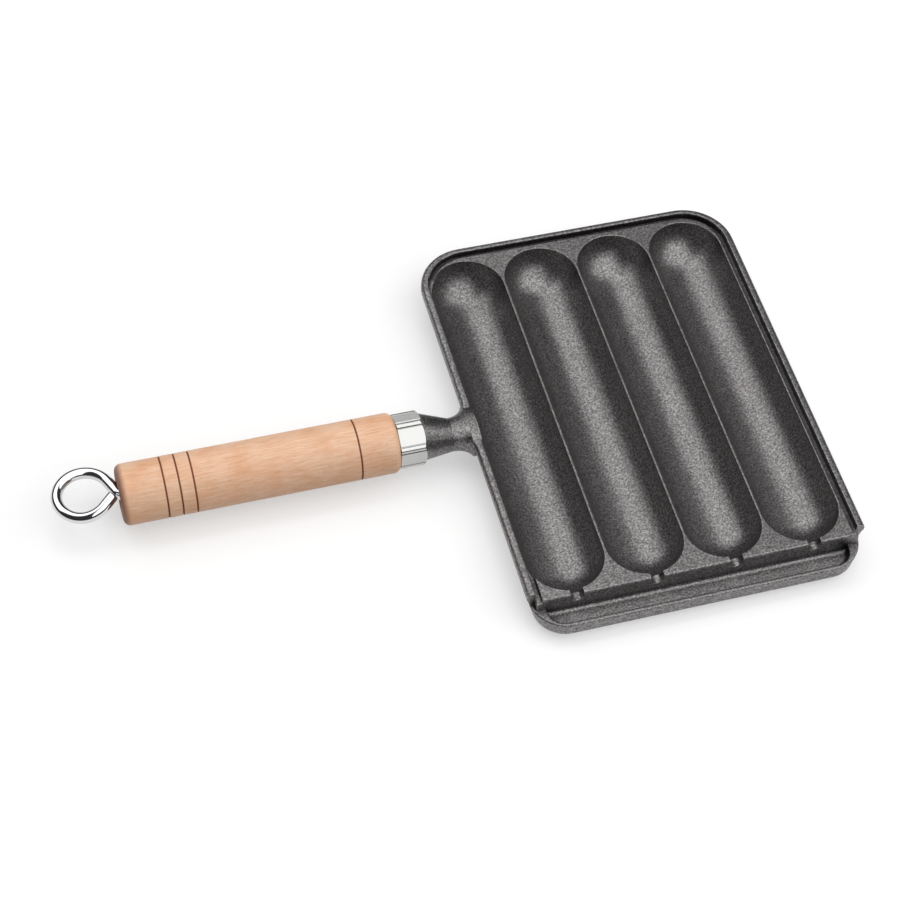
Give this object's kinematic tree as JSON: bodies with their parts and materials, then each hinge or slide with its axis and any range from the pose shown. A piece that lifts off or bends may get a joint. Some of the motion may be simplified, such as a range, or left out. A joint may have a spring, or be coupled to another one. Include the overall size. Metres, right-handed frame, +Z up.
{
  "type": "sausage grill pan",
  "caption": "Cast iron pan with round-ended bays for sausages, a drip gutter in front, and a wooden grip with a hexagonal ferrule and a hanging eye.",
  "frame": {"origin": "under the middle of the whole object, on the table that the pan rests on", "axes": "+Z up, +Y towards the back of the pan, away from the gutter, and the grip reaches towards -X"},
  "size_m": [0.3306, 0.2019, 0.0299],
  "materials": {
    "cast_iron": "sand-cast, seasoned, satin",
    "ferrule_steel": "turned and plated",
    "grip_wood": "turned beech with burnt lines",
    "eye_steel": "bright plated rod"
  },
  "bodies": {
    "root": {"pan_casting": "cast_iron", "hex_ferrule": "ferrule_steel", "wood_grip": "grip_wood", "hanging_eye": "eye_steel"}
  },
  "joints": []
}
